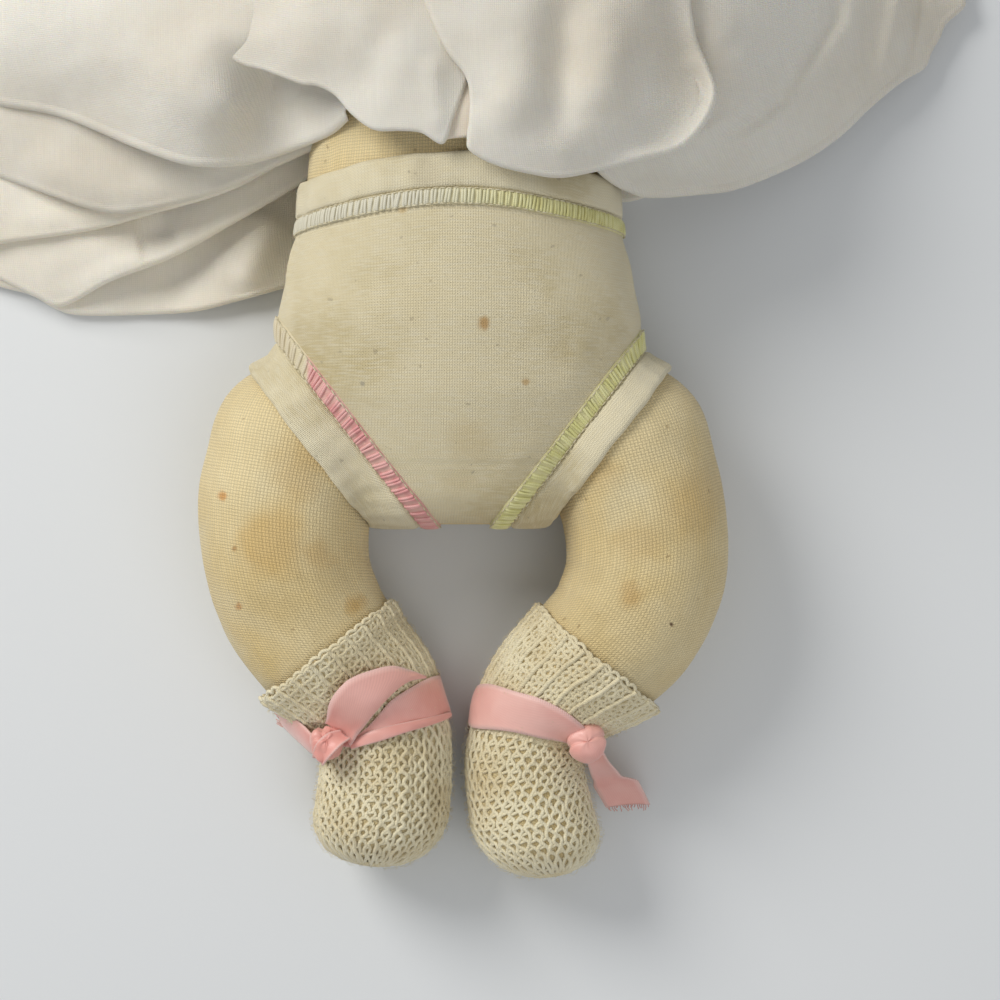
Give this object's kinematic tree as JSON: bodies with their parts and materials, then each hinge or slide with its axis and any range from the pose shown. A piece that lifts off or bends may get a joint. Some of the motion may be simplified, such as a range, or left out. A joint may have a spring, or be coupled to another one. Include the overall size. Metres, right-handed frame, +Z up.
{
  "type": "porcelain baby doll",
  "caption": "Baby doll lying on its back: stuffed muslin body and curved legs, bisque head with sleeping eyes, knit underpants and ribbon-tied socks, lawn gown pulled up.",
  "frame": {"origin": "on the flat of the underpants under the seat, on the surface that the doll lies on", "axes": "+Z up from the table through the belly, +Y from the seat toward the crown, +X toward the doll's left side"},
  "size_m": [0.245, 0.3324, 0.091],
  "materials": {
    "bisque": "unglazed tinted bisque porcelain",
    "glass_eye": "polished blown glass with an iris",
    "wax": "tinted wax",
    "wire": "drawn iron wire",
    "lead": "cast lead",
    "plaster": "plaster of Paris",
    "cork": "cork",
    "thread": "twisted cotton",
    "muslin": "unbleached muslin, yellowed and stained",
    "stuffing": "cotton waste",
    "jersey": "fine cotton jersey",
    "yellow_stitch": "yellow-green overlock thread",
    "pink_stitch": "pink overlock thread",
    "sock_knit": "coarse mesh knit",
    "ribbon": "satin ribbon",
    "lawn": "fine cotton lawn"
  },
  "bodies": {
    "torso": {"torso_cover": "muslin", "torso_stuffing": "stuffing", "neck_drawstring": "thread", "underpants_panel": "jersey", "waistband": "jersey", "waist_stitching": "yellow_stitch", "left_leg_band": "jersey", "left_leg_stitching": "yellow_stitch", "right_leg_band": "jersey", "right_leg_stitching": "pink_stitch", "gown_yoke": "lawn", "gown_collar": "lawn", "gown_skirt_back": "lawn", "gown_skirt_front": "lawn"},
    "head": {"bisque_head": "bisque", "left_eye_bearing": "plaster", "right_eye_bearing": "plaster", "eye_stop": "cork"},
    "eyes": {"left_glass_eye": "glass_eye", "left_eyelid": "wax", "right_glass_eye": "glass_eye", "right_eyelid": "wax", "eye_rocker_wire": "wire", "eye_counterweight": "lead"},
    "left_leg": {"left_leg_cover": "muslin", "left_leg_stuffing": "stuffing", "left_sock": "sock_knit", "left_ribbon_band": "ribbon", "left_ribbon_knot": "ribbon", "left_ribbon_tail": "ribbon"},
    "left_arm": {"left_arm_cover": "muslin", "left_arm_stuffing": "stuffing", "left_hand": "bisque", "left_sleeve": "lawn", "left_sleeve_cuff": "lawn"},
    "right_leg": {"right_leg_cover": "muslin", "right_leg_stuffing": "stuffing", "right_sock": "sock_knit", "right_ribbon_band": "ribbon", "right_ribbon_knot": "ribbon", "right_ribbon_tail": "ribbon"},
    "right_arm": {"right_arm_cover": "muslin", "right_arm_stuffing": "stuffing", "right_hand": "bisque", "right_sleeve": "lawn", "right_sleeve_cuff": "lawn"}
  },
  "joints": [
    {"name": "head_turn", "type": "hinge", "parent": "torso", "child": "head", "pos_m": [0, 0.1046, 0.036], "axis": [0, 1, 0], "range_deg": [-60, 60]},
    {"name": "eye_rock", "type": "hinge", "parent": "head", "child": "eyes", "pos_m": [0, 0.15, 0.0783], "axis": [-1, 0, 0], "range_deg": [0, 55]},
    {"name": "left_hip", "type": "hinge", "parent": "torso", "child": "left_leg", "pos_m": [0.038, -0.027, 0.021], "axis": [-1, 0, 0], "range_deg": [0, 75], "deforming": ["left_leg_band", "left_leg_stitching", "underpants_panel"]},
    {"name": "right_hip", "type": "hinge", "parent": "torso", "child": "right_leg", "pos_m": [-0.038, -0.027, 0.021], "axis": [-1, 0, 0], "range_deg": [0, 75], "deforming": ["right_leg_band", "right_leg_stitching"]},
    {"name": "left_shoulder", "type": "hinge", "parent": "torso", "child": "left_arm", "pos_m": [0.041, 0.087, 0.025], "axis": [0.6091, -0.7931, 0], "range_deg": [0, 48]},
    {"name": "right_shoulder", "type": "hinge", "parent": "torso", "child": "right_arm", "pos_m": [-0.041, 0.087, 0.025], "axis": [0.6091, 0.7931, 0], "range_deg": [0, 48]}
  ]
}
